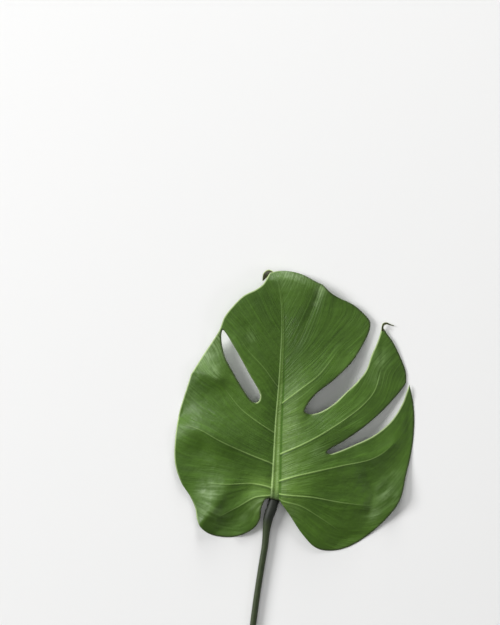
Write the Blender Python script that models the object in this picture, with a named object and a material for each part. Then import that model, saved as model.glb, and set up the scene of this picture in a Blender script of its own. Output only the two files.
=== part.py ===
import math

import bpy
import numpy as np
from mathutils import Vector
from mathutils.geometry import delaunay_2d_cdt

# A cut monstera leaf lying face up. Lengths are in millimetres. Before the last shift to the origin, the
# midrib starts at 0, 0 and runs towards +Y, and the surface that the leaf lies on is at z = 0.
MM = 0.001
BLADE_THICKNESS = 0.9
GAP = 0.5

# How finely the blade is split: the steps of its grid, its margin, the rows along its veins and its lines,
# how near a row and a grid point may come to other points, and how far apart a row's points stay linked.
GRID_STEP = 7.2
EDGE_STEP = 5.0
ROW_STEP = 8.0
LINE_STEP = 4.0
APEX_STEP = 2.0
BASE_POINTS = 6
CLOSEST = 0.6
GRID_CLEARANCE = 0.52 * GRID_STEP
LONGEST_LINK = 1.6 * ROW_STEP
SHARP_ANGLE = 50

# Where the margin lies on the surface: the places, how far round each, and how softly the blade lands.
REST_SPOTS = [(-96, 84), (-52, -40), (70, -51), (139, 72)]
REST_REACH = 18.0
REST_ROW = 2.5
LANDING = 0.8
LANDED_TOP = 0.8

# The blade bends down along the apex to a slope, softly at first, and its edge hangs down by the curtain.
APEX_ROLL = 10.0
APEX_SLOPE = 0.7
APEX_SOFT = 3.0
APEX_CURTAIN = 5.0
CURTAIN_REACH = 0.7
APEX_ROWS = (0.7, 3.0, 6.0, 9.5)
APEX_SPAN = (-13.0, -4.0, 26.0, 45.0)

BASE_RIDGE = 0.7
PETIOLE_SIDES = 14
PETIOLE_STEP = 7.0
TIP_THICKNESS = 0.8
TIP_STEP = 2.2
TIP_FACING = (0, 0.3, 1)
TIP_SHOULDER = 0.6

# Colour and roughness of the two parts.
BLADE_FINISH = ((0.072, 0.145, 0.03), 0.42)
PETIOLE_FINISH = ((0.075, 0.095, 0.04), 0.5)

# The margin, run by run from the base of the right lobe round to the base of the left lobe. Each run is a
# smooth curve, and two runs meet in a corner.
RIGHT_LOBE = [
    (4.5, -3), (14, -17), (28, -38), (41, -51), (54, -54), (71, -51), (91, -40), (112, -21), (125, -2),
    (131, 22), (137, 47), (139.5, 74), (138.5, 94), (134.5, 112.5),
]
LOWER_SLOT = [
    (134.5, 112.5), (132, 106), (128, 94.5), (117, 77), (100, 62.5), (80, 53), (60, 45.3), (54, 44),
    (51.2, 45.4), (53.2, 48.1), (70, 57.5), (90, 71.5), (110, 89), (127, 108), (131.5, 114.5),
]
MIDDLE_FINGER = [(131.5, 114.5), (131, 125), (126, 139), (118, 155), (112, 163.5), (108.5, 169)]
UPPER_SLOT = [
    (106.8, 169), (102, 154), (96, 141), (91, 127), (82, 115.5), (71, 105), (58, 93), (45, 85.5),
    (34, 83.3), (29.4, 86), (31.5, 91.7), (40, 103), (58, 117), (77, 135.5), (87, 151), (94.7, 167),
    (95.5, 174.5),
]
UPPER_RIGHT = [(95.5, 174.5), (94, 177.5), (85, 187), (77, 193), (63, 199.5), (55, 204.8), (47.5, 212.4)]
APEX = [(47.5, 212.4), (43, 214.5), (35, 219), (27, 223), (15, 226), (4, 226.4), (-5, 224.6)]
UPPER_LEFT = [(-5, 224.6), (-8, 219), (-12, 212.8), (-19, 207.5), (-31, 201.5), (-42, 191), (-50.5, 180),
              (-56, 166.5), (-72, 142), (-84, 123)]
LEFT_MARGIN = [(-84, 123), (-90, 104), (-96, 84), (-100, 57), (-100, 34), (-94, 15), (-85, 0.5),
               (-80, -11), (-78.5, -21)]
LEFT_LOBE = [(-78.5, -21), (-75, -29.5), (-65, -37.5), (-47, -40.5), (-35, -38.5), (-21, -31),
             (-15.3, -22), (-13.5, -10), (-9.5, -2), (-6, -0.5)]
BASE = [(-6, -0.5), (4.5, -3)]
RUNS = [RIGHT_LOBE, LOWER_SLOT, MIDDLE_FINGER, [MIDDLE_FINGER[-1], UPPER_SLOT[0]], UPPER_SLOT,
        UPPER_RIGHT, APEX, UPPER_LEFT, LEFT_MARGIN, LEFT_LOBE, BASE]
# The third slot stays closed, with a narrow bridge to the margin at its upper end.
CLOSED_SLOT = [
    (-52.2, 167), (-40, 149), (-25, 122), (-16.5, 107), (-14.8, 101), (-16, 96.5), (-19.5, 94.5),
    (-23.5, 96.5), (-32, 108), (-42, 125), (-49.5, 139), (-53, 152), (-53.6, 162),
]

# How softly the crest over a vein is rounded.
CREST_ROUND = 2.4

# Each vein: its line, its width and its depth below the blade at both ends, and how far it lifts the blade
# into a fold at both ends (negative for a furrow) with the fold's reach to each side.
VEINS = {
    "midrib": {
        "line": [(-0.7, -1.7), (1, 32), (3, 77), (5.5, 112), (7, 142), (8, 172), (6.5, 198), (2, 222)],
        "width": (10.0, 1.6), "depth": (8.6, 0.6), "fold": (-6.0, -2.8), "reach": 16.0,
    },
    "right_basal": {
        "line": [(8, -4.5), (25, -8), (45, -20), (65, -34)],
        "width": (2.4, 1.0), "depth": (1.3, 0.3), "fold": (0.6, 0.3), "reach": 8.0,
    },
    "right_low": {
        "line": [(8, 3), (35, 1), (65, -4.5), (97, -9)],
        "width": (2.8, 1.0), "depth": (1.7, 0.3), "fold": (0.8, 2.4), "reach": 8.0,
    },
    "right_second": {
        "line": [(8, 18), (25, 23), (65, 32), (95, 38), (110, 46), (118, 54)],
        "width": (3.0, 1.0), "depth": (1.9, 0.3), "fold": (0.4, 4.0), "reach": 8.0,
    },
    "right_third": {
        "line": [(8.5, 45), (25, 52.5), (55, 69), (85, 90), (99, 106), (106, 128)],
        "width": (3.0, 1.0), "depth": (1.9, 0.3), "fold": (0.6, 3.4), "reach": 9.0,
    },
    "right_fourth": {
        "line": [(8, 95), (25, 108), (43, 122), (53, 133.5), (63, 147)],
        "width": (2.4, 0.9), "depth": (1.4, 0.3), "fold": (0.6, 1.8), "reach": 6.0,
    },
    "right_pleat": {
        "line": [(20, 150), (36, 184), (46.8, 213)],
        "width": (1.2, 0.9), "depth": (0.3, 0.3), "fold": (0.0, -6.0), "reach": 4.5,
    },
    "left_basal": {
        "line": [(-9, 2), (-20, 0.5), (-35, -8), (-57, -20)],
        "width": (2.4, 1.0), "depth": (1.3, 0.3), "fold": (3.6, 3.4), "reach": 6.0,
    },
    "left_low": {
        "line": [(-7, 11), (-23, 14), (-48, 13.5), (-70, 15)],
        "width": (2.6, 1.0), "depth": (1.6, 0.3), "fold": (1.6, 2.0), "reach": 5.0,
    },
    "left_second": {
        "line": [(-5.5, 35), (-25, 43), (-55, 57), (-75, 68), (-95, 74)],
        "width": (2.8, 1.0), "depth": (1.8, 0.3), "fold": (1.4, 2.4), "reach": 9.0,
    },
    "left_third": {
        "line": [(-4.5, 67), (-18, 76), (-35, 89.5), (-52, 111)],
        "width": (2.4, 0.9), "depth": (1.4, 0.3), "fold": (0.6, 0.4), "reach": 8.0,
    },
    "left_fourth": {
        "line": [(0, 114), (-10, 128), (-30, 151), (-36, 163)],
        "width": (2.0, 0.9), "depth": (1.0, 0.3), "fold": (0.6, 0.8), "reach": 8.0,
    },
}

# Crests and furrows between the veins: the line, how far it lifts the blade at both ends, the reach to each
# side and how softly the crest is rounded.
FOLDS = {
    "shoulder": {
        "line": [(-54, 118), (-66, 122), (-82, 126)],
        "rise": (3.0, 3.6), "reach": 6.0, "round": 1.6,
    },
    "notch": {
        "line": [(-40, 80), (-62, 91), (-87, 102)],
        "rise": (-1.6, -2.6), "reach": 7.0, "round": 3.0,
    },
    "lower_left": {
        "line": [(-46, 14), (-57, -5), (-74, -26)],
        "rise": (1.5, 7.5), "reach": 7.0, "round": 2.0,
    },
    "finger_rim": {
        "line": [(34, 82), (45, 85.5), (58, 93), (71, 105), (82, 115.5)],
        "rise": (-2.6, -1.0), "reach": 4.0, "round": 1.0,
    },
    "lobe_furrow": {
        "line": [(92, 20), (98, 2), (95, -14)],
        "rise": (-2.4, -3.4), "reach": 6.0, "round": 2.0,
    },
    "right_crest": {
        "line": [(34, 2), (44, 35), (42, 62)],
        "rise": (3.4, 2.4), "reach": 14.0, "round": 7.0,
    },
    "left_crest": {
        "line": [(-74, 66), (-60, 64), (-46, 54)],
        "rise": (1.0, 2.0), "reach": 8.0, "round": 3.0,
    },
    "mid_valley": {
        "line": [(0, 6), (1, 22), (3, 77), (5.5, 112)],
        "rise": (-7.0, -2.6), "reach": 10.0, "round": 1.6,
    },
    "finger_pleat": {
        "line": [(107, 150), (105, 126), (97, 108)],
        "rise": (-2.4, -1.0), "reach": 4.0, "round": 1.0,
    },
    "left_dimple": {
        "line": [(-29, 170), (-25, 152)],
        "rise": (-1.8, -1.2), "reach": 3.5, "round": 1.0,
    },
}

# Heights of the upper face over the surface that the leaf lies on. Those under 0 press the margin on to it.
MARGIN_HEIGHTS = [
    (4.5, -3, 16), (14, -17, 10), (28, -38, 5.5), (41, -51, 2.5), (54, -54, 0.7), (71, -51, -2.5),
    (91, -40, 0.7), (112, -21, 4), (125, -2, 8.5), (131, 22, 5), (137, 47, 0.6), (139.5, 74, -2.5),
    (138.5, 94, 0.7), (134.5, 112.5, 2.5), (128, 94.5, 3), (117, 77, 5), (100, 62.5, 7.5), (80, 53, 11),
    (60, 45.3, 16), (51, 45.6, 18), (70, 57.5, 14.5), (90, 71.5, 12), (110, 89, 6.5), (127, 108, 3.5),
    (131.5, 114.5, 1.6), (131, 125, 1.3), (126, 139, 1.6), (118, 155, 2.9), (108, 169, 3), (102, 154, 5),
    (96, 141, 6.5), (91, 127, 8.5), (82, 115.5, 10.5), (71, 105, 12), (58, 93, 13.5), (45, 85.5, 15),
    (30, 86, 18.5), (40, 103, 19), (58, 117, 16), (77, 135.5, 10), (87, 151, 6), (94.7, 167, 4.5),
    (94, 177.5, 5), (85, 187, 6), (77, 193, 7.5), (63, 199.5, 9.5), (55, 204.8, 13), (47.5, 212.4, 14),
    (35, 219, 14.5), (27, 223, 15.5), (15, 226, 17), (4, 226.4, 17.5), (-5, 224.6, 17.5),
    (-12, 212.8, 18.5), (-19, 207.5, 18.5), (-31, 201.5, 18.5), (-42, 191, 17.5), (-50.5, 180, 16.5),
    (-56, 166.5, 13.5), (-72, 142, 4.5), (-84, 123, 5), (-90, 104, 5.5), (-96, 84, -2.5), (-100, 57, 6.5),
    (-100, 34, 5.5), (-94, 15, 4.5), (-85, 0.5, 2.5), (-80, -11, 2.5), (-78.5, -21, 1.5),
    (-75, -29.5, 1.8), (-65, -37.5, 0.4), (-50, -40.5, -2.5), (-35, -38.5, 3.5), (-21, -31, 6),
    (-15.3, -22, 9.5), (-13.5, -10, 12.5), (-6, -0.5, 16), (-40, 149, 16), (-25, 122, 15.5),
    (-16.5, 107, 15), (-32, 108, 12.5), (-42, 125, 12), (-53, 152, 11.5),
]
INNER_HEIGHTS = [
    (0, 20, 15.5), (2, 50, 14.5), (4, 80, 15), (6, 110, 15.5), (7, 140, 16), (7, 170, 16.5),
    (6, 195, 17.5), (4, 212, 18.5), (20, 208, 18), (34, 206, 16.5), (-25, 10, 9.5), (-25, 40, 12.5),
    (-25, 70, 13), (-42, 90, 11.5), (-45, 72, 14.5), (-20, 150, 17.5), (-20, 180, 18.5), (-36, 175, 17.5),
    (-60, 120, 12.5), (-72, 121, 10), (-64, 140, 8), (-68, 107, 9.5), (-56, 105, 10), (-80, 106, 7.5),
    (-75, 68, 14.5), (-62, 61, 17), (-89, 71, 8.5), (-72, 86, 11.5), (-58, 90, 12), (-72, 50, 9),
    (-72, 33, 7.5), (-50, 40, 12.5), (-66, 15, 8), (-45, 12, 11.5), (-64, -3, 10.5), (-71, -13, 6),
    (-50, -15, 6.5), (-35, -20, 5.5), (-22, -12, 10), (25, 10, 15.5), (25, 40, 17.5), (28, 70, 19),
    (22, 120, 16.5), (25, 150, 15), (25, 185, 16.5), (45, -25, 8.5), (75, -25, 6), (98, -20, 3.5),
    (50, 8, 14), (80, 8, 11), (105, 2, 6.5), (112, 12, 6.5), (122, 28, 3.5), (60, 28, 16.5), (48, 64, 19),
    (68, 77, 14), (90, 42, 10), (117, 58, 5), (129, 76, 3), (75, 78, 12), (98, 100, 7.5), (118, 118, 4),
    (112, 142, 4), (58, 140, 10.5), (75, 160, 7.5), (52, 172, 11.5), (62, 186, 10), (42, 195, 15),
    (-95, 74, 3.5), (-86, 45, 7), (-50, 56, 17),
]

# The drip tips curl off the apex and off the middle finger: points of the middle line and half widths.
APEX_TIP = [(-2.6, 223.4, 8.3, 2.6), (-6, 226.2, 6.2, 2.4), (-9.5, 225.4, 4.2, 1.9), (-12, 221.3, 3.2, 1.3),
            (-13.8, 217.3, 2.8, 0.5)]
FINGER_TIP = [(107.6, 166, 3, 1.3), (107.4, 171, 4, 0.9), (108.4, 173.6, 3.8, 0.7), (111.5, 174, 2.8, 0.6),
              (115.5, 172, 1.8, 0.5), (119, 171.2, 1.6, 0.4)]

# The petiole's middle line from the base of the blade down to the cut end, with its radius.
PETIOLE = [
    (-0.75, -1.75, 5.4, 5.2), (-3.1, -10.5, 5.4, 5.2), (-6.6, -20.5, 5.2, 4.9), (-8.6, -33, 4.8, 3.7),
    (-10, -48, 4.5, 3.3), (-13, -66, 4.3, 3.2), (-18.7, -103, 4, 3.15), (-22, -128, 3.8, 3.15),
    (-26.5, -165, 3.5, 3.2), (-29, -200, 3.25, 3.3), (-30, -235, 3.3, 3.4), (-30, -262, 3.4, 3.5),
]


def smooth(points, step, closed=False, least=2):
    """A centripetal Catmull-Rom curve through the points, sampled at about the step."""
    p = np.array(points, float)
    if closed:
        p = np.vstack([p[-1:], p, p[:2]])
    else:
        p = np.vstack([2 * p[:1] - p[1:2], p, 2 * p[-1:] - p[-2:-1]])
    out = []
    for a, b, c, d in zip(p, p[1:], p[2:], p[3:]):
        t0, t1, t2 = (max(1e-9, math.dist(u[:2], v[:2])) ** 0.5 for u, v in ((a, b), (b, c), (c, d)))
        start = t1 * ((b - a) / t0 - (c - a) / (t0 + t1)) + (c - b)
        end = t1 * ((d - c) / t2 - (d - b) / (t1 + t2)) + (c - b)
        count = max(least, math.ceil(math.dist(b[:2], c[:2]) / step))
        for k in range(count):
            u = k / count
            out.append(
                (2 * u**3 - 3 * u**2 + 1) * b
                + (u**3 - 2 * u**2 + u) * start
                + (3 * u**2 - 2 * u**3) * c
                + (u**3 - u**2) * end
            )
    if not closed:
        out.append(p[-2])
    return np.array(out)


def nearest(at, line):
    """For each point, its distance to the line and how far along the line the nearest place is, 0 to 1."""
    start, end = line[:-1], line[1:]
    run = end - start
    length = np.linalg.norm(run, axis=1)
    before = np.concatenate([[0], np.cumsum(length)])
    t = ((at[:, None] - start) * run).sum(2) / length**2
    t = np.clip(t, 0, 1)
    gap = np.linalg.norm(start + t[..., None] * run - at[:, None], axis=2)
    best = gap.argmin(1)
    rows = np.arange(len(at))
    return gap[rows, best], (before[best] + t[rows, best] * length[best]) / before[-1]


def bend(r):
    return np.where(r > 0, r**2 * np.log(np.maximum(r, 1e-9)), 0)


def thin_plate(points):
    """Weights of the smoothest plate that passes through all the given heights."""
    p = np.array(points, float)
    n = len(p)
    a = np.zeros((n + 3, n + 3))
    a[:n, :n] = bend(np.linalg.norm(p[:, None, :2] - p[None, :, :2], axis=2))
    a[:n, n:] = np.c_[np.ones(n), p[:, :2]]
    a[n:, :n] = a[:n, n:].T
    return p[:, :2], np.linalg.solve(a, np.concatenate([p[:, 2], np.zeros(3)]))


PLATE_POINTS, PLATE_WEIGHTS = thin_plate(MARGIN_HEIGHTS + INNER_HEIGHTS)
VEIN_LINES = {name: smooth(vein["line"], LINE_STEP) for name, vein in VEINS.items()}
FOLD_LINES = {name: smooth(fold["line"], LINE_STEP) for name, fold in FOLDS.items()}
APEX_LINE = smooth(APEX, APEX_STEP)


def between(pair, share):
    return pair[0] + (pair[1] - pair[0]) * share


def apex_roll(at):
    """The drop of the bend along the apex."""
    gap, _ = nearest(at, APEX_LINE)
    a, b, c, d = APEX_SPAN
    strength = np.clip((at[:, 0] - a) / (b - a), 0, 1) * np.clip((d - at[:, 0]) / (d - c), 0, 1)
    past = np.clip(APEX_ROLL - gap, 0, APEX_ROLL)
    rolled = APEX_SLOPE * (np.sqrt(past**2 + APEX_SOFT**2) - APEX_SOFT)
    hang = APEX_CURTAIN * np.clip(1 - gap / CURTAIN_REACH, 0, 1)
    return strength * (rolled + hang)


def land(z):
    """Heights near the surface flattened on to it, with a soft bend where they leave it."""
    height = z - LANDED_TOP
    bent = np.clip(height + LANDING, 0, 2 * LANDING) ** 2 / (4 * LANDING)
    return LANDED_TOP + bent + np.maximum(height - LANDING, 0)


def surface(at):
    """Height of the smooth upper face, folds included."""
    r = np.linalg.norm(at[:, None] - PLATE_POINTS[None], axis=2)
    z = bend(r) @ PLATE_WEIGHTS[:-3] + np.c_[np.ones(len(at)), at] @ PLATE_WEIGHTS[-3:]
    for name, vein in VEINS.items():
        gap, share = nearest(at, VEIN_LINES[name])
        z += between(vein["fold"], share) * np.exp(-np.sqrt(gap**2 + CREST_ROUND**2) / vein["reach"])
    for name, fold in FOLDS.items():
        gap, share = nearest(at, FOLD_LINES[name])
        z += between(fold["rise"], share) * np.exp(-np.sqrt(gap**2 + fold["round"] ** 2) / fold["reach"])
    return land(z - apex_roll(at))


def ridge(at):
    """Height of the midrib's flat band above the blade, and depth of all the ribs under it."""
    raised = np.zeros(len(at))
    depth = np.zeros(len(at))
    for name, vein in VEINS.items():
        gap, share = nearest(at, VEIN_LINES[name])
        across = np.clip(gap / (between(vein["width"], share) / 2), 0, 1)
        depth = np.maximum(depth, between(vein["depth"], share) * np.sqrt(1 - across**2))
        if name == "midrib":
            raised = BASE_RIDGE * (1 - share) * (1 - across**4)
    return raised, depth


def inside(at, loop):
    x, y = at[:, 0], at[:, 1]
    found = np.zeros(len(at), bool)
    for (x0, y0), (x1, y1) in zip(loop, np.roll(loop, -1, axis=0)):
        crosses = (y0 > y) != (y1 > y)
        reach = x0 + (y - y0) / (y1 - y0 if y1 != y0 else 1) * (x1 - x0)
        found ^= crosses & (x < reach)
    return found


def vein_rows():
    """Rows of points along the middle and the flanks of each vein, and along the folds."""
    rows = []
    for name, vein in VEINS.items():
        line = smooth(vein["line"], ROW_STEP, least=1)
        ahead = np.gradient(line, axis=0)
        side = np.c_[-ahead[:, 1], ahead[:, 0]] / np.linalg.norm(ahead, axis=1)[:, None]
        share = np.linspace(0, 1, len(line))
        half = between(vein["width"], share)[:, None] / 2
        shares = (-1, -0.6, 0, 0.6, 1) if name == "midrib" else (-1, 0, 1)
        rows += [line + side * half * k for k in shares]
    return rows + [smooth(fold["line"], ROW_STEP, least=1) for fold in FOLDS.values()]


def apex_rows():
    """Rows along the apex, where the blade bends sharply down."""
    ahead = np.gradient(APEX_LINE, axis=0)
    inward = np.c_[-ahead[:, 1], ahead[:, 0]] / np.linalg.norm(ahead, axis=1)[:, None]
    return [(APEX_LINE + inward * k)[::2] for k in APEX_ROWS]


def rest_rows(outer):
    """Short rows just inside the margin where it lies on the surface."""
    ahead = np.roll(outer, -1, axis=0) - np.roll(outer, 1, axis=0)
    inward = np.c_[-ahead[:, 1], ahead[:, 0]] / np.linalg.norm(ahead, axis=1)[:, None]
    rows = []
    for spot in REST_SPOTS:
        near = np.linalg.norm(outer - spot, axis=1) < REST_REACH
        rows.append((outer + inward * REST_ROW)[near])
    return rows


def far_from(at, others, least):
    return np.linalg.norm(at[:, None] - others[None], axis=2).min(1) > least


def blade_plan():
    """The blade's outline and inner points, split into triangles once for both faces."""
    outer = np.vstack([smooth(run, EDGE_STEP, least=BASE_POINTS if run is BASE else 2)[:-1] for run in RUNS])
    inner = smooth(CLOSED_SLOT, EDGE_STEP, closed=True)
    taken = np.vstack([outer, inner])
    first, last = len(outer), len(taken)
    edges = [(k, (k + 1) % first) for k in range(first)]
    edges += [(k, k + 1 if k + 1 < last else first) for k in range(first, last)]
    for row in vein_rows() + apex_rows() + rest_rows(outer):
        row = row[inside(row, outer) & ~inside(row, inner) & far_from(row, taken, CLOSEST)]
        near = np.linalg.norm(np.diff(row, axis=0), axis=1) < LONGEST_LINK
        edges += [(len(taken) + k, len(taken) + k + 1) for k in np.flatnonzero(near)]
        taken = np.vstack([taken, row])
    low, high = outer.min(0), outer.max(0)
    rise = GRID_STEP * math.sqrt(3) / 2
    grid = np.array([
        (low[0] + (i + 0.5 * (j % 2)) * GRID_STEP, low[1] + j * rise)
        for j in range(int((high[1] - low[1]) / rise) + 1)
        for i in range(int((high[0] - low[0]) / GRID_STEP) + 1)
    ])
    grid = grid[inside(grid, outer) & ~inside(grid, inner) & far_from(grid, taken, GRID_CLEARANCE)]
    points = np.vstack([taken, grid])
    flat, _, faces, *_ = delaunay_2d_cdt([Vector(p) for p in points], edges, [], 1, 1e-5)
    flat = np.array([tuple(v) for v in flat])
    faces = np.array([f for f in faces if len(f) == 3])
    middle = flat[faces].mean(1)
    faces = faces[inside(middle, outer) & ~inside(middle, inner)]
    turn = np.cross(flat[faces[:, 1]] - flat[faces[:, 0]], flat[faces[:, 2]] - flat[faces[:, 0]])
    faces[turn < 0] = faces[turn < 0][:, ::-1]
    used, faces = np.unique(faces, return_inverse=True)
    return flat[used], faces.reshape(-1, 3)


def normals(points, faces):
    """Unit normals at the points of a mesh."""
    a, b, c = (points[faces[:, k]] for k in range(3))
    across = np.cross(b - a, c - a)
    total = np.zeros((len(points), 3))
    for k in range(3):
        np.add.at(total, faces[:, k], across)
    return total / np.linalg.norm(total, axis=1)[:, None]


def blade_mesh():
    """Both faces from the same triangles, the lower one offset along the normals, and a rim between."""
    flat, faces = blade_plan()
    face_up = np.c_[flat, surface(flat)]
    raised, depth = ridge(flat)
    top = face_up + np.c_[np.zeros((len(flat), 2)), raised]
    below = face_up - normals(face_up, faces) * BLADE_THICKNESS
    below[:, 2] = np.maximum(below[:, 2] - depth, 0)
    n = len(flat)
    ends = np.concatenate([faces[:, [0, 1]], faces[:, [1, 2]], faces[:, [2, 0]]])
    known = {(a, b) for a, b in ends}
    rim = [(a, b) for a, b in ends if (b, a) not in known]
    sides = [f for a, b in rim for f in ((b, a, a + n), (b, a + n, b + n))]
    return np.vstack([top, below]), np.vstack([faces, faces[:, ::-1] + n, sides])


def tip_mesh(points):
    """A thin tapering ribbon with a lens-shaped section, closed at both ends."""
    line = smooth(points, TIP_STEP)
    middle, half = line[:, :3], line[:, 3]
    ahead = np.gradient(middle, axis=0)
    ahead /= np.linalg.norm(ahead, axis=1)[:, None]
    side = np.cross(ahead, TIP_FACING)
    side /= np.linalg.norm(side, axis=1)[:, None]
    over = np.cross(ahead, side) * TIP_THICKNESS / 2
    side = side * np.maximum(half, TIP_THICKNESS / 2)[:, None]
    inner = TIP_SHOULDER * side
    ring = [side, inner + over, over - inner, -side, -inner - over, inner - over]
    return tube_of(np.stack([middle + k for k in ring], axis=1))


def tube_of(rings):
    """A closed tube over rings of equally many points, each ring counter-clockwise seen from its end."""
    count, sides = rings.shape[:2]
    faces = []
    for i in range(count - 1):
        for k in range(sides):
            a, b = i * sides + k, i * sides + (k + 1) % sides
            faces += [(a, b, b + sides), (a, b + sides, a + sides)]
    last = (count - 1) * sides
    faces += [(0, k + 1, k) for k in range(1, sides - 1)]
    faces += [(last, last + k, last + k + 1) for k in range(1, sides - 1)]
    return rings.reshape(-1, 3), np.array(faces)


def petiole_mesh():
    """A round stalk: thick dark joint at the blade, a knee below it, then an even stem to the cut."""
    line = smooth(PETIOLE, PETIOLE_STEP, least=1)
    middle, radius = line[:, :3], line[:, 3]
    ahead = np.gradient(middle, axis=0)
    ahead[0] = BASE[1][1] - BASE[0][1], BASE[0][0] - BASE[1][0], 0
    ahead /= np.linalg.norm(ahead, axis=1)[:, None]
    middle[0] += ahead[0] * GAP
    side = np.cross(ahead, (0, 0, 1))
    side /= np.linalg.norm(side, axis=1)[:, None]
    over = np.cross(ahead, side)
    turns = [math.tau * (k + 0.5) / PETIOLE_SIDES for k in range(PETIOLE_SIDES)]
    ring = [radius[:, None] * (side * math.cos(t) + over * math.sin(t)) / math.cos(math.pi / PETIOLE_SIDES)
            for t in turns]
    points, faces = tube_of(np.stack([middle + k for k in ring], axis=1))
    points[:, 2] = np.maximum(points[:, 2], 0)
    return points, faces


def solid(name, points, faces):
    mesh = bpy.data.meshes.new(name)
    mesh.from_pydata((points * MM).tolist(), [], faces.tolist())
    mesh.update()
    mesh.shade_smooth()
    mesh.set_sharp_from_angle(angle=math.radians(SHARP_ANGLE))
    made = bpy.data.objects.new(name, mesh)
    bpy.context.scene.collection.objects.link(made)
    return made


def paint(made, colour, roughness):
    material = bpy.data.materials.new(made.name)
    material.use_nodes = True
    shader = material.node_tree.nodes["Principled BSDF"]
    shader.inputs["Base Color"].default_value = (*colour, 1)
    shader.inputs["Roughness"].default_value = roughness
    shader.inputs["Metallic"].default_value = 0
    made.data.materials.clear()
    made.data.materials.append(material)


def join(main, others):
    """One body from the blade and its drip tips."""
    for other in others:
        union = main.modifiers.new(other.name, "BOOLEAN")
        union.operation = "UNION"
        union.object = other
        union.solver = "EXACT"
    bpy.context.view_layer.update()
    evaluated = main.evaluated_get(bpy.context.evaluated_depsgraph_get())
    mesh = bpy.data.meshes.new_from_object(evaluated)
    main.modifiers.clear()
    main.data = mesh
    for other in others:
        bpy.data.objects.remove(other)


def centre_on_origin(made):
    """Moves the whole leaf so that the middle of its box stands over the origin."""
    corners = np.array([v.co for piece in made for v in piece.data.vertices])
    shift = Vector((*((corners.min(0) + corners.max(0)) / 2)[:2], corners[:, 2].min()))
    for piece in made:
        for v in piece.data.vertices:
            v.co -= shift


def main():
    for old in list(bpy.data.objects):
        bpy.data.objects.remove(old)
    blade = solid("leaf_blade", *blade_mesh())
    tips = [solid("apex_tip", *tip_mesh(APEX_TIP)), solid("finger_tip", *tip_mesh(FINGER_TIP))]
    join(blade, tips)
    petiole = solid("petiole", *petiole_mesh())
    paint(blade, *BLADE_FINISH)
    paint(petiole, *PETIOLE_FINISH)
    centre_on_origin([blade, petiole])


main()
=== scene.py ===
import math

import bpy
import numpy as np
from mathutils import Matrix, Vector
from mathutils.geometry import delaunay_2d_cdt
from mathutils.kdtree import KDTree


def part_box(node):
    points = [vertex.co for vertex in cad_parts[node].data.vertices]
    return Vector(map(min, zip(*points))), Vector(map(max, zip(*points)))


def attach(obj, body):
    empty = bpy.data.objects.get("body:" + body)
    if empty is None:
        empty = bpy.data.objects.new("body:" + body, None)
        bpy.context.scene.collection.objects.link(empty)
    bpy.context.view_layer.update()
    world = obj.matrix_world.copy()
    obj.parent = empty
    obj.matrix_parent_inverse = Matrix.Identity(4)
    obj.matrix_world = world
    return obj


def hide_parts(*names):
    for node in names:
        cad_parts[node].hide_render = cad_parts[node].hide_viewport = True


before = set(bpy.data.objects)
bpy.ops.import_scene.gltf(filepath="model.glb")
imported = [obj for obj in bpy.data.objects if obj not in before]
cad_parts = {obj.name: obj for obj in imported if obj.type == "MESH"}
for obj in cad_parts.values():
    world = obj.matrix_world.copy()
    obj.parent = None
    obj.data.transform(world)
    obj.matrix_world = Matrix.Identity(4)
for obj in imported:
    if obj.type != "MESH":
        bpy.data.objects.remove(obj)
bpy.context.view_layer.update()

mm = 0.001
chunk = 8000  # points worked out at a time

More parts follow.
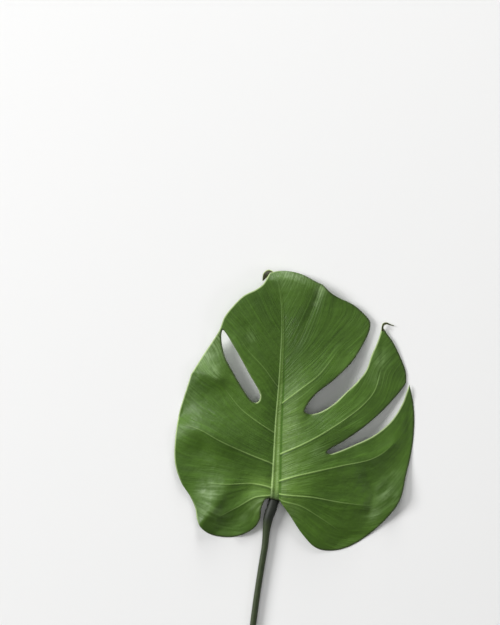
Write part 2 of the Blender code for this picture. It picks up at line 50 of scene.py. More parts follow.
# The leaf's own plan is in millimetres: the midrib starts at 0, 0 and runs towards +Y.
leaf = {
    "thickness": 0.8,
    "landedTop": 0.8,  # height of the upper face where the blade lies on the floor
    "landing": 0.8,  # how softly it comes down to that
    "lineStep": 3.0,  # between the points of a vein or a fold, where distances are measured
    "apexStep": 2.0,
    "guideStep": 12.0,
    "edgeStep": 1.2,  # between points of the mesh along the margin
    "rowStep": 1.5,  # along the veins
    "rowBreak": 1.8,  # a gap of more steps than this parts a row
    "gridStep": 1.4,  # in the skin between them
    "gridClear": 0.77,  # from those to the rows
    "closest": 0.17,  # from a row's points to those before it
    "rimRows": (0.22, 0.6, 1.3),  # rows of points inside the margin, by distance
    "midribRows": (-1.3, -1.1, -0.97, -0.85, -0.7, -0.4, -0.15, 0.15, 0.4, 0.7, 0.85, 0.97, 1.1, 1.3),
    "veinRows": (-2.3, -1.4, -0.7, 0, 0.7, 1.4, 2.3),  # both by half widths of the cord
    "rimRound": 1.3,  # how far in the margin is rounded
    "paintedRimTurn": (0.87, -0.5),  # a margin that faces this way gets painted shade, one that faces away a painted pale highlight
    "rippleHeight": 0.07,
    "rippleStart": (5, 30),  # distance from the midrib where the ripples set in
    "midribWall": (1.05, 0.72),  # foot and top of its sides, by half widths of the cord
    "midribFurrow": (0.24, 0.1, 0.25),  # share of its height, place and width of the line along its top
    "midribSkin": (1.1, 0.85),  # where its colour fades out
    "veinWall": (1.4, 0.0),
    "veinSkin": (1.4, 0.3),
    "veinEnd": (1.0, 0.85),  # share of its length where a vein fades out
    "veinShade": (0.8, 1.6, 2.2, 4.4),  # the painted shade line below a vein: from, full, full, to
    # Places with a painted sheen, pale patches that stand for highlights: where, how far it reaches, how
    # strongly.
    "paintedSheens": [
        (111, 3, 10, 0.9), (99, -16, 8, 0.8), (118, 20, 8, 0.4), (104, 138, 9, 0.5), (100, 120, 9, 0.3),
        (46, 209, 6, 1.0), (12, 222, 11, 0.6), (28, 219, 7, 0.5), (-24, 160, 5, 0.5), (-68, 6, 9, 0.8),
        (-60, -14, 6, 0.4), (-59, 121, 3, 0.7), (-16, -8, 6, 0.4), (-48, -26, 14, 0.2),
        (-61, 148, 9, 0.65), (-70, 136, 9, 0.45), (-56, 162, 6, 0.9), (-60, 128, 7, 0.4), (43, 47, 8, 0.45),
        (-59, 7, 8, 0.6), (-71, -13, 6, 0.7), (-22, -10, 6, 0.4), (-31, -20, 5, 0.3),
        (-13, -5, 6, 0.9), (17, -13, 7, 0.4), (44, 202, 4, 0.9), (41, 193, 4, 0.6),
        (-76, 134, 4, 0.6), (-70, 143, 4, 0.8), (-63, 153, 4, 0.8), (-58, 163, 3, 0.8), (-60, 125, 4, 0.5),
        (-86, 104, 7, 0.35),
    ],
    # Places with painted shade, where it is darker.
    "paintedShadePatches": [
        (12, -18, 5, 0.5), (20, -30, 6, 0.55), (29, -42, 7, 0.55), (40, -51, 8, 0.4), (-72, 112, 9, 0.3),
        (-80, 52, 10, 0.35), (-40, 72, 10, 0.3), (-80, 72, 8, 0.25), (25, 147, 12, 0.35),
        (-13, 142, 10, 0.25), (-14, 100, 7, 0.3), (2, 214, 6, 0.3), (-12, 200, 9, 0.3),
        (72, 44, 9, 0.3), (92, 54, 8, 0.3),
    ],
    "apexRoll": 10.0,  # width of the strip by the apex that is rolled down
    "apexSlope": 0.7,
    "apexSoft": 3.0,  # how softly the roll begins
    "apexCurtain": 5.0,  # how far its very edge hangs
    "curtainReach": 0.7,  # width of that edge
    "apexRows": (0.35, 0.7, 1.2, 2.2),
    "apexSpan": (-13.0, -4.0, 26.0, 45.0),  # from left to right: starts, full, full, ends
    "crestRound": 2.4,  # of the folds along the veins
    "rightLobe": [
        (4.5, -3), (14, -17), (28, -38), (41, -51), (54, -54), (71, -51), (91, -40), (112, -21), (125, -2),
        (131, 22), (137, 47), (139.5, 74), (138.5, 94), (134.5, 112.5),
    ],
    "lowerSlot": [
        (134.5, 112.5), (132, 106), (128, 94.5), (117, 77), (100, 62.5), (80, 53), (60, 45.3), (54, 44),
        (51.2, 45.4), (53.2, 48.1), (70, 57.5), (90, 71.5), (110, 89), (127, 108), (131.5, 114.5),
    ],
    "middleFinger": [(131.5, 114.5), (131, 125), (126, 139), (118, 155), (112, 163.5), (108.5, 169)],
    "upperSlot": [
        (106.8, 169), (102, 154), (96, 141), (91, 127), (82, 115.5), (71, 105), (58, 93), (45, 85.5),
        (34, 83.3), (29.4, 86), (31.5, 91.7), (40, 103), (58, 117), (77, 135.5), (87, 151), (94.7, 167),
        (95.5, 174.5),
    ],
    "upperRight": [(95.5, 174.5), (94, 177.5), (85, 187), (77, 193), (63, 199.5), (55, 204.8), (47.5, 212.4)],
    "apex": [(47.5, 212.4), (43, 214.5), (35, 219), (27, 223), (15, 226), (4, 226.4), (-5, 224.6)],
    "upperLeft": [(-5, 224.6), (-8, 219), (-12, 212.8), (-19, 207.5), (-31, 201.5), (-42, 191),
                  (-50.5, 180), (-56, 166.5), (-72, 142), (-84, 123)],
    "leftMargin": [(-84, 123), (-90, 104), (-96, 84), (-100, 57), (-100, 34), (-94, 15), (-85, 0.5),
                   (-80, -11), (-78.5, -21)],
    "leftLobe": [(-78.5, -21), (-75, -29.5), (-65, -37.5), (-47, -40.5), (-35, -38.5), (-21, -31),
                 (-15.3, -22), (-13.5, -10), (-9.5, -2), (-6, -0.5)],
    "base": [(-6, -0.5), (4.5, -3)],
    "closedSlot": [
        (-52.2, 167), (-40, 149), (-25, 122), (-16.5, 107), (-14.8, 101), (-16, 96.5), (-19.5, 94.5),
        (-23.5, 96.5), (-32, 108), (-42, 125), (-49.5, 139), (-53, 152), (-53.6, 162),
    ],
    # Heights of the upper face at the margin and inside it; those under 0 press the margin on to the floor.
    "heights": [
        (4.5, -3, 16), (14, -17, 10), (28, -38, 5.5), (41, -51, 2.5), (54, -54, 0.7), (71, -51, -2.5),
        (91, -40, 0.7), (112, -21, 4), (125, -2, 8.5), (131, 22, 5), (137, 47, 0.6), (139.5, 74, -2.5),
        (138.5, 94, 0.7), (134.5, 112.5, 2.5), (128, 94.5, 3), (117, 77, 5), (100, 62.5, 7.5),
        (80, 53, 11), (60, 45.3, 16), (51, 45.6, 18), (70, 57.5, 14.5), (90, 71.5, 12), (110, 89, 6.5),
        (127, 108, 3.5), (131.5, 114.5, 1.6), (131, 125, 1.3), (126, 139, 1.6), (118, 155, 2.9),
        (108, 169, 3), (102, 154, 5), (96, 141, 6.5), (91, 127, 8.5), (82, 115.5, 10.5), (71, 105, 12),
        (58, 93, 13.5), (45, 85.5, 15), (30, 86, 18.5), (40, 103, 19), (58, 117, 16), (77, 135.5, 10),
        (87, 151, 6), (94.7, 167, 4.5), (94, 177.5, 5), (85, 187, 6), (77, 193, 7.5), (63, 199.5, 9.5),
        (55, 204.8, 13), (47.5, 212.4, 14), (35, 219, 14.5), (27, 223, 15.5), (15, 226, 17),
        (4, 226.4, 17.5), (-5, 224.6, 17.5), (-12, 212.8, 18.5), (-19, 207.5, 18.5), (-31, 201.5, 18.5),
        (-42, 191, 17.5), (-50.5, 180, 16.5), (-56, 166.5, 13.5), (-72, 142, 4.5), (-84, 123, 5),
        (-90, 104, 5.5), (-96, 84, -2.5), (-100, 57, 6.5), (-100, 34, 5.5), (-94, 15, 4.5),
        (-85, 0.5, 2.5), (-80, -11, 2.5), (-78.5, -21, 1.5), (-75, -29.5, 1.8), (-65, -37.5, 0.4),
        (-50, -40.5, -2.5), (-35, -38.5, 3.5), (-21, -31, 6), (-15.3, -22, 9.5), (-13.5, -10, 12.5),
        (-6, -0.5, 16), (-40, 149, 16), (-25, 122, 15.5), (-16.5, 107, 15), (-32, 108, 12.5),
        (-42, 125, 12), (-53, 152, 11.5), (0, 20, 15.5), (2, 50, 14.5), (4, 80, 15), (6, 110, 15.5),
        (7, 140, 16), (7, 170, 16.5), (6, 195, 17.5), (4, 212, 18.5), (20, 208, 18), (34, 206, 16.5),
        (-25, 10, 9.5), (-25, 40, 12.5), (-25, 70, 13), (-42, 90, 11.5), (-45, 72, 14.5), (-20, 150, 17.5),
        (-20, 180, 18.5), (-36, 175, 17.5), (-60, 120, 12.5), (-72, 121, 10), (-64, 140, 8),
        (-68, 107, 9.5), (-56, 105, 10), (-80, 106, 7.5), (-75, 68, 14.5), (-62, 61, 17), (-89, 71, 8.5),
        (-72, 86, 11.5), (-58, 90, 12), (-72, 50, 9), (-72, 33, 7.5), (-50, 40, 12.5), (-66, 15, 8),
        (-45, 12, 11.5), (-64, -3, 10.5), (-71, -13, 6), (-50, -15, 6.5), (-35, -20, 5.5), (-22, -12, 10),
        (25, 10, 15.5), (25, 40, 17.5), (28, 70, 19), (22, 120, 16.5), (25, 150, 15), (25, 185, 16.5),
        (45, -25, 8.5), (75, -25, 6), (98, -20, 3.5), (50, 8, 14), (80, 8, 11), (105, 2, 6.5),
        (112, 12, 6.5), (122, 28, 3.5), (60, 28, 16.5), (48, 64, 19), (68, 77, 14), (90, 42, 10),
        (117, 58, 5), (129, 76, 3), (75, 78, 12), (98, 100, 7.5), (118, 118, 4), (112, 142, 4),
        (58, 140, 10.5), (75, 160, 7.5), (52, 172, 11.5), (62, 186, 10), (42, 195, 15), (-95, 74, 3.5),
        (-86, 45, 7), (-50, 56, 17),
    ],
}
leaf["runs"] = ["rightLobe", "lowerSlot", "middleFinger", "upperSlot", "upperRight", "apex", "upperLeft",
                "leftMargin", "leftLobe", "base"]

# Each vein: its line, the width of its pale cord and the cord's height over the blade, width and depth of
# its rib below, how far it lifts the blade into a fold (negative for a furrow) and how pale it is, each at
# both ends. The fold's reach goes to each side, and start is where the vein leaves the midrib.
veins = {
    "midrib": {
        "line": [(-0.7, -1.7), (1, 32), (3, 77), (5.5, 112), (7, 142), (8, 172), (6.5, 198), (2, 222)],
        "cord": (8, 1.8), "raised": (0.8, 0.2), "width": (10.0, 1.6), "depth": (8.6, 0.6),
        "fold": (-6.0, -2.8), "reach": 16.0, "start": 0, "paleness": (0.85, 0),
    },
    "rightBasal": {
        "line": [(3, -0.5), (8, -3.5), (25, -8), (45, -20), (65, -34)],
        "cord": (1.2, 0.6), "raised": (0.18, 0.05), "width": (2.4, 1.0), "depth": (1.3, 0.3),
        "fold": (0.6, 0.3), "reach": 8.0, "start": -8, "paleness": (0.5, 0.12),
    },
    "rightLow": {
        "line": [(3.4, 4), (8, 3), (35, 1), (65, -4.5), (97, -9)],
        "cord": (1.4, 0.7), "raised": (0.24, 0.07), "width": (2.8, 1.0), "depth": (1.7, 0.3),
        "fold": (0.8, 2.4), "reach": 8.0, "start": 3, "paleness": (0.75, 0.2),
    },
    "rightSecond": {
        "line": [(4, 16.5), (8, 18), (25, 23), (65, 32), (95, 38), (110, 46), (118, 54)],
        "cord": (1.5, 0.8), "raised": (0.28, 0.09), "width": (3.0, 1.0), "depth": (1.9, 0.3),
        "fold": (0.4, 4.0), "reach": 8.0, "start": 15, "paleness": (0.85, 0.25),
    },
    "rightThird": {
        "line": [(4.5, 43), (8.5, 45), (25, 52.5), (55, 69), (85, 90), (99, 106), (106, 128)],
        "cord": (1.5, 0.8), "raised": (0.28, 0.09), "width": (3.0, 1.0), "depth": (1.9, 0.3),
        "fold": (0.6, 3.4), "reach": 9.0, "start": 41, "paleness": (0.85, 0.25),
    },
    "rightFourth": {
        "line": [(5, 92.5), (8, 95), (25, 108), (43, 122), (53, 133.5), (63, 147)],
        "cord": (1.3, 0.6), "raised": (0.24, 0.07), "width": (2.4, 0.9), "depth": (1.4, 0.3),
        "fold": (0.6, 1.8), "reach": 6.0, "start": 90, "paleness": (0.7, 0.15),
    },
    "rightPleat": {
        "line": [(9, 138), (20, 150), (36, 184), (46.8, 213)],
        "cord": (1, 0.6), "raised": (0.08, 0.04), "width": (1.2, 0.9), "depth": (0.3, 0.3),
        "fold": (0.0, -6.0), "reach": 4.5, "start": 134, "paleness": (0.15, 0.05),
    },
    "leftBasal": {
        "line": [(-4, 2.4), (-9, 2), (-20, 0.5), (-35, -8), (-57, -20)],
        "cord": (1.4, 0.6), "raised": (0.2, 0.06), "width": (2.4, 1.0), "depth": (1.3, 0.3),
        "fold": (3.6, 3.4), "reach": 6.0, "start": 0, "paleness": (0.7, 0.2),
    },
    "leftLow": {
        "line": [(-3.5, 9.5), (-7, 11), (-23, 14), (-48, 13.5), (-70, 15)],
        "cord": (1.5, 0.7), "raised": (0.22, 0.07), "width": (2.6, 1.0), "depth": (1.6, 0.3),
        "fold": (1.6, 2.0), "reach": 5.0, "start": 8, "paleness": (0.75, 0.2),
    },
    "leftSecond": {
        "line": [(-2.5, 33.5), (-5.5, 35), (-25, 43), (-55, 57), (-75, 68), (-95, 74)],
        "cord": (1.4, 0.7), "raised": (0.24, 0.07), "width": (2.8, 1.0), "depth": (1.8, 0.3),
        "fold": (1.4, 2.4), "reach": 9.0, "start": 32, "paleness": (0.6, 0.15),
    },
    "leftThird": {
        "line": [(-0.5, 64.5), (-4.5, 67), (-18, 76), (-35, 89.5), (-52, 111)],
        "cord": (1.2, 0.6), "raised": (0.2, 0.06), "width": (2.4, 0.9), "depth": (1.4, 0.3),
        "fold": (0.6, 0.4), "reach": 8.0, "start": 62, "paleness": (0.4, 0.15),
    },
    "leftFourth": {
        "line": [(3.5, 110), (0, 114), (-10, 128), (-30, 151), (-36, 163)],
        "cord": (1, 0.5), "raised": (0.16, 0.05), "width": (2.0, 0.9), "depth": (1.0, 0.3),
        "fold": (0.6, 0.8), "reach": 8.0, "start": 106, "paleness": (0.3, 0.1),
    },
}

# Crests and furrows between the veins: the line, how far it lifts the blade at both ends, the reach to each
# side and how softly the crest is rounded.
folds = {
    "shoulder": {
        "line": [(-54, 118), (-66, 122), (-82, 126)],
        "rise": (3.0, 3.6), "reach": 6.0, "round": 1.6,
    },
    "notch": {
        "line": [(-40, 80), (-62, 91), (-87, 102)],
        "rise": (-1.6, -2.6), "reach": 7.0, "round": 3.0,
    },
    "lowerLeft": {
        "line": [(-46, 14), (-57, -5), (-74, -26)],
        "rise": (1.7, 8.8), "reach": 7.0, "round": 3.1,
    },
    "fingerRim": {
        "line": [(34, 82), (45, 85.5), (58, 93), (71, 105), (82, 115.5)],
        "rise": (-2.6, -1.0), "reach": 4.0, "round": 1.0,
    },
    "lobeFurrow": {
        "line": [(92, 20), (98, 2), (95, -14)],
        "rise": (-2.4, -3.4), "reach": 6.0, "round": 2.0,
    },
    "rightCrest": {
        "line": [(34, 2), (44, 35), (42, 62)],
        "rise": (3.4, 2.4), "reach": 14.0, "round": 7.0,
    },
    "leftCrest": {
        "line": [(-74, 66), (-60, 64), (-46, 54)],
        "rise": (1.0, 2.0), "reach": 8.0, "round": 3.0,
    },
    "midValley": {
        "line": [(0, 6), (1, 22), (3, 77), (5.5, 112)],
        "rise": (-7.0, -2.6), "reach": 10.0, "round": 1.6,
    },
    "fingerPleat": {
        "line": [(107, 150), (105, 126), (97, 108)],
        "rise": (-2.4, -1.0), "reach": 4.0, "round": 1.0,
    },
    "leftDimple": {
        "line": [(-29, 170), (-25, 152)],
        "rise": (-1.8, -1.2), "reach": 3.5, "round": 1.0,
    },
}

# The fine veins follow the big ones. Where none is near, these lines show them the way.
guides = {
    "right": [
        (175, [(8, 175), (22, 200), (28, 214)]),
        (112, [(6, 112), (40, 145), (72, 182)]),
        (70, [(4, 70), (30, 80)]),
    ],
    "left": [
        (-6, [(-8, -3), (-11, -18), (-25, -34)]),
        (142, [(6, 142), (-10, 165), (-30, 195)]),
        (178, [(7, 178), (-3, 200), (-10, 214)]),
        (90, [(4, 90), (-9, 104), (-13, 112)]),
        (80, [(-40, 112), (-56, 132), (-62, 146)]),
        (48, [(1, 50), (-20, 60), (-50, 82), (-80, 108)]),
        (22, [(0, 22), (-30, 28), (-60, 36), (-95, 44)]),
    ],
}


def smoothCurve(points, step, closed=False, least=2):
    p = np.array(points, float)
    if closed:
        p = np.vstack([p[-1:], p, p[:2]])
    else:
        p = np.vstack([2 * p[:1] - p[1:2], p, 2 * p[-1:] - p[-2:-1]])
    out = []
    for a, b, c, d in zip(p, p[1:], p[2:], p[3:]):
        t0, t1, t2 = (max(1e-9, math.dist(u[:2], v[:2])) ** 0.5 for u, v in ((a, b), (b, c), (c, d)))
        start = t1 * ((b - a) / t0 - (c - a) / (t0 + t1)) + (c - b)
        end = t1 * ((d - c) / t2 - (d - b) / (t1 + t2)) + (c - b)
        count = max(least, math.ceil(math.dist(b[:2], c[:2]) / step))
        for k in range(count):
            u = k / count
            out.append(
                (2 * u**3 - 3 * u**2 + 1) * b
                + (u**3 - 2 * u**2 + u) * start
                + (3 * u**2 - 2 * u**3) * c
                + (u**3 - u**2) * end
            )
    if not closed:
        out.append(p[-2])
    return np.array(out)


def nearestOn(at, line):  # distance, share of the way along, and which side: +1 left of the line's way
    start, run = line[:-1], np.diff(line, axis=0)
    length = np.linalg.norm(run, axis=1)
    before = np.concatenate([[0], np.cumsum(length)])
    gaps, shares, sides = [], [], []
    for part in np.array_split(at, max(1, len(at) // chunk)):
        t = np.clip(((part[:, None] - start) * run).sum(2) / length**2, 0, 1)
        off = part[:, None] - (start + t[..., None] * run)
        gap = np.linalg.norm(off, axis=2)
        best = gap.argmin(1)
        rows = np.arange(len(part))
        gaps.append(gap[rows, best])
        shares.append((before[best] + t[rows, best] * length[best]) / before[-1])
        way, away = run[best], off[rows, best]
        sides.append(np.sign(way[:, 0] * away[:, 1] - way[:, 1] * away[:, 0]))
    return np.concatenate(gaps), np.concatenate(shares), np.concatenate(sides)


def bend(r):
    return np.where(r > 0, r**2 * np.log(np.maximum(r, 1e-9)), 0)


class Plate:  # the smoothest plate through given heights
    def __init__(self, points):
        p = np.array(points, float)
        n = len(p)
        a = np.zeros((n + 3, n + 3))
        a[:n, :n] = bend(np.linalg.norm(p[:, None, :2] - p[None, :, :2], axis=2))
        a[:n, n:] = np.c_[np.ones(n), p[:, :2]]
        a[n:, :n] = a[:n, n:].T
        self.places = p[:, :2]
        self.weights = np.linalg.solve(a, np.concatenate([p[:, 2], np.zeros(3)]))

    def at(self, points):
        found = []
        for part in np.array_split(points, max(1, len(points) // chunk)):
            r = np.linalg.norm(part[:, None] - self.places[None], axis=2)
            flat = np.c_[np.ones(len(part)), part] @ self.weights[-3:]
            found.append(bend(r) @ self.weights[:-3] + flat)
        return np.concatenate(found)


def between(pair, share):
    return pair[0] + (pair[1] - pair[0]) * share


def ramp(x, low, high):
    t = np.clip((x - low) / (high - low), 0, 1)
    return t * t * (3 - 2 * t)


bigShape = Plate(leaf["heights"])
veinLines = {name: smoothCurve(vein["line"], leaf["lineStep"]) for name, vein in veins.items()}
foldLines = {name: smoothCurve(fold["line"], leaf["lineStep"]) for name, fold in folds.items()}
apexLine = smoothCurve(leaf["apex"], leaf["apexStep"])


def apexDrop(at):  # how far the roll by the apex lowers the blade
    gap = nearestOn(at, apexLine)[0]
    a, b, c, d = leaf["apexSpan"]
    strength = np.clip((at[:, 0] - a) / (b - a), 0, 1) * np.clip((d - at[:, 0]) / (d - c), 0, 1)
    past = np.clip(leaf["apexRoll"] - gap, 0, leaf["apexRoll"])
    rolled = leaf["apexSlope"] * (np.sqrt(past**2 + leaf["apexSoft"] ** 2) - leaf["apexSoft"])
    hang = leaf["apexCurtain"] * np.clip(1 - gap / leaf["curtainReach"], 0, 1)
    return strength * (rolled + hang)


def landed(z):  # heights that don't go through the floor, with a soft turn where they would
    height = z - leaf["landedTop"]
    soft = leaf["landing"]
    bent = np.clip(height + soft, 0, 2 * soft) ** 2 / (4 * soft)
    return leaf["landedTop"] + bent + np.maximum(height - soft, 0)


def isInside(at, loop):
    x, y = at[:, 0], at[:, 1]
    found = np.zeros(len(at), bool)
    for (x0, y0), (x1, y1) in zip(loop, np.roll(loop, -1, axis=0)):
        crosses = (y0 > y) != (y1 > y)
        reach = x0 + (y - y0) / (y1 - y0 if y1 != y0 else 1) * (x1 - x0)
        found ^= crosses & (x < reach)
    return found


def treeOf(points):
    tree = KDTree(len(points))
    for k, p in enumerate(points):
        tree.insert((p[0], p[1], 0), k)
    tree.balance()
    return tree


def clearOf(at, tree, least):  # which points are farther than that from the tree's
    return np.array([tree.find((p[0], p[1], 0))[2] > least for p in at], bool)


def inwardOf(loop, closed=True):  # across a line, to the left of its way, which is inwards on a margin
    ahead = np.roll(loop, -1, axis=0) - np.roll(loop, 1, axis=0) if closed else np.gradient(loop, axis=0)
    return np.c_[-ahead[:, 1], ahead[:, 0]] / np.linalg.norm(ahead, axis=1)[:, None]


def detailRows():  # rows of points along the veins and by the rolled apex
    rows = []
    for name, vein in veins.items():
        line = smoothCurve(vein["line"], leaf["rowStep"], least=1)
        share = np.linspace(0, 1, len(line))
        half = between(vein["cord"], share)[:, None] / 2
        steps = leaf["midribRows"] if name == "midrib" else leaf["veinRows"]
        rows += [line + inwardOf(line, False) * half * k for k in steps]
    fine = smoothCurve(leaf["apex"], leaf["rowStep"], least=1)
    rows += [fine + inwardOf(fine, False) * k for k in leaf["apexRows"]]
    return rows


def bladePlan():  # points and triangles of the flat blade, with its margin and the edge of the closed slot
    outer = np.vstack([smoothCurve(leaf[run], leaf["edgeStep"], least=3)[:-1] for run in leaf["runs"]])
    keep = np.linalg.norm(outer - np.roll(outer, 1, axis=0), axis=1) > 1e-6
    outer = outer[keep]
    inner = smoothCurve(leaf["closedSlot"], leaf["edgeStep"], closed=True)
    taken = [outer, inner]
    first, last = len(outer), len(outer) + len(inner)
    edges = [(k, (k + 1) % first) for k in range(first)]
    edges += [(k, k + 1 if k + 1 < last else first) for k in range(first, last)]
    count = last
    rims = [loop + inwardOf(loop) * k for k in leaf["rimRows"] for loop in (outer, inner)]
    for row in rims + detailRows():
        row = row[isInside(row, outer) & ~isInside(row, inner)]
        row = row[clearOf(row, treeOf(np.vstack(taken)), leaf["closest"])]
        near = np.linalg.norm(np.diff(row, axis=0), axis=1) < leaf["rowBreak"] * leaf["rowStep"]
        edges += [(count + k, count + k + 1) for k in np.flatnonzero(near)]
        taken.append(row)
        count += len(row)
    step = leaf["gridStep"]
    rise = step * math.sqrt(3) / 2
    low, high = outer.min(0), outer.max(0)
    j, i = np.mgrid[0:int((high[1] - low[1]) / rise) + 1, 0:int((high[0] - low[0]) / step) + 1]
    grid = np.c_[(low[0] + (i + 0.5 * (j % 2)) * step).ravel(), (low[1] + j * rise).ravel()]
    grid = grid[isInside(grid, outer) & ~isInside(grid, inner)]
    grid = grid[clearOf(grid, treeOf(np.vstack(taken)), leaf["gridClear"])]
    points = np.vstack(taken + [grid])
    flat, _, faces, *_ = delaunay_2d_cdt([Vector(p) for p in points], edges, [], 1, 1e-5, False)
    flat = np.array([tuple(v) for v in flat])
    faces = np.array([f for f in faces if len(f) == 3])
    middle = flat[faces].mean(1)
    faces = faces[isInside(middle, outer) & ~isInside(middle, inner)]
    turn = np.cross(flat[faces[:, 1]] - flat[faces[:, 0]], flat[faces[:, 2]] - flat[faces[:, 0]])
    faces[turn < 0] = faces[turn < 0][:, ::-1]
    used, faces = np.unique(faces, return_inverse=True)
    return flat[used], faces.reshape(-1, 3), outer, inner


def marginGap(at, loops):  # distance to the margin, and how far the margin there faces down and right
    gap, facing = np.full(len(at), 99.0), np.zeros(len(at))
    for loop in loops:
        tree = treeOf(loop)
        index = np.array([tree.find((p[0], p[1], 0))[1] for p in at])
        turned = -inwardOf(loop)[index] @ leaf["paintedRimTurn"]
        for a, b in ((index - 1, index), (index, (index + 1) % len(loop))):
            start, run = loop[a], loop[b] - loop[a]
            t = np.clip(((at - start) * run).sum(1) / (run**2).sum(1), 0, 1)
            found = np.linalg.norm(start + t[:, None] * run - at, axis=1)
            facing = np.where(found < gap, turned, facing)
            gap = np.minimum(gap, found)
    return gap, facing


def patchesOf(at, places):  # how strongly soft round patches cover each point, up to 1
    total = np.zeros(len(at))
    for x, y, reach, strength in places:
        total += strength * np.exp(-((at[:, 0] - x) ** 2 + (at[:, 1] - y) ** 2) / reach**2)
    return np.minimum(total, 1)


def flowPlates():  # for each half of the blade, a plate whose level lines are its fine veins
    found = {}
    mid = veinLines["midrib"]
    for side in ("right", "left"):
        marks = [(x, y, y) for x, y in mid[::7]]
        for name, vein in veins.items():
            if name.startswith(side):
                marks += [(x, y, vein["start"]) for x, y in veinLines[name][2::4]]
        for value, line in guides[side]:
            marks += [(x, y, value) for x, y in smoothCurve(line, leaf["guideStep"])[1:]]
        found[side] = Plate(marks)
    return found


def ripples(flow, out):  # low waves that run with the fine veins
    slow = np.sin(0.62 * flow + 1.7 * np.sin(0.031 * out + 0.4))
    quick = np.sin(1.13 * flow + 2.1 + 0.02 * out)
    return leaf["rippleHeight"] * (slow + 0.6 * quick) * ramp(out, *leaf["rippleStart"])


def normalsOf(points, faces):  # which way the skin looks at each point
    a, b, c = (points[faces[:, k]] for k in range(3))
    across = np.cross(b - a, c - a)
    total = np.zeros((len(points), 3))
    for k in range(3):
        np.add.at(total, faces[:, k], across)
    return total / np.maximum(np.linalg.norm(total, axis=1), 1e-12)[:, None]


def meshPiece(name, points, faces, marks, materials, which=None):
    mesh = bpy.data.meshes.new(name)
    mesh.from_pydata((points * mm).tolist(), [], faces.tolist() if hasattr(faces, "tolist") else faces)
    for key, values in marks.items():
        layer = mesh.attributes.new(key, "FLOAT", "POINT")
        layer.data.foreach_set("value", np.asarray(values, np.float32))
    for material in materials:
        mesh.materials.append(material)
    if which is not None:
        mesh.polygons.foreach_set("material_index", np.asarray(which, np.int32))
    mesh.shade_smooth()
    mesh.update()
    made = bpy.data.objects.new(name, mesh)
    bpy.context.scene.collection.objects.link(made)
    return made


class Wire:  # one socket of a shader tree; sums and products of wires add Math nodes
    def __init__(self, tree, socket=None):
        self.tree, self.socket = tree, socket

    def node(self, kind, settings=None, sockets=None, out=0):
        made = self.tree.nodes.new(kind)
        for key, value in (settings or {}).items():
            setattr(made, key, value)
        for key, value in (sockets or {}).items():
            if isinstance(value, Wire):
                self.tree.links.new(value.socket, made.inputs[key])
            else:
                made.inputs[key].default_value = value
        return Wire(self.tree, made.outputs[out])

    def maths(self, operation, a, b):
        return self.node("ShaderNodeMath", {"operation": operation}, {0: a, 1: b})

    def __add__(self, other):
        return self.maths("ADD", self, other)

    def __sub__(self, other):
        return self.maths("SUBTRACT", self, other)

    def __rsub__(self, other):
        return self.maths("SUBTRACT", other, self)

    def __mul__(self, other):
        return self.maths("MULTIPLY", self, other)

    __radd__, __rmul__ = __add__, __mul__

    def mark(self, name):
        return self.node("ShaderNodeAttribute", {"attribute_name": name}, out="Fac")

    def step(self, value, low, high, start=0.0, end=1.0):
        return self.node("ShaderNodeMapRange", {"interpolation_type": "SMOOTHSTEP"}, {
            "Value": value, "From Min": low, "From Max": high, "To Min": start, "To Max": end}, "Result")

    def mix(self, factor, a, b):
        return self.node("ShaderNodeMix", {"data_type": "RGBA"}, {0: factor, 6: a, 7: b}, 2)

    def vector(self, x, y, z=0.0):
        return self.node("ShaderNodeCombineXYZ", {}, {0: x, 1: y, 2: z})

    def noise(self, vector, scale, detail=2.0, roughness=0.5):
        return self.node("ShaderNodeTexNoise", {}, {
            "Vector": vector, "Scale": scale, "Detail": detail, "Roughness": roughness}, "Fac")


def colour(red, green, blue):  # screen values 0 to 255 as the renderer's linear colour
    shares = [v / 255 for v in (red, green, blue)]
    return (*[v / 12.92 if v < 0.04045 else ((v + 0.055) / 1.055) ** 2.4 for v in shares], 1.0)


def newMaterial(name, gloss):
    material = bpy.data.materials.new(name)
    material.use_nodes = True
    shader = material.node_tree.nodes["Principled BSDF"]
    for key, value in gloss.items():
        shader.inputs[key].default_value = value
    return material, Wire(material.node_tree), shader


def feed(wire, shader, **links):
    for key, value in links.items():
        wire.tree.links.new(value.socket, shader.inputs[key.replace("_", " ")])


upperFace = {
    "gloss": {"Roughness": 0.48, "Specular IOR Level": 0.32},
    "roughness": (0.56, 0.43),  # in dull and in shiny places
    "bump": {"Strength": 1.0, "Distance": 0.0004},
    "broadScale": 22.0,
    "patchScale": 34.0,
    "mottleScale": 110.0,
    "streakRun": (0.45, 0.03),  # how fast the fine veins change across and along
    "hairRun": (1.0, 0.05),
    "green": colour(66, 96, 28),
    "deep": colour(58, 86, 24),
    "fresh": colour(84, 122, 40),
    "pale": colour(152, 182, 106),
    "groove": colour(104, 134, 60),
    # painted highlight on the midrib's left side
    "bright": colour(172, 200, 130),
    # painted shadow along the midrib's right side
    "paintedMidribShadow": colour(52, 88, 14),
    # painted light on the skin beside the lower midrib
    "paintedLight": colour(106, 138, 58),
    "foot": colour(62, 84, 40),
    "shade": colour(40, 64, 18),
    # painted light on margins: a pale rim where they face the light, a dark one where they face away
    "rim": colour(168, 188, 132),
    "paintedRimShade": colour(46, 52, 30),
    # painted sheen: the pale colour of patches that stand for highlights
    "paintedSheen": colour(140, 164, 116),
}


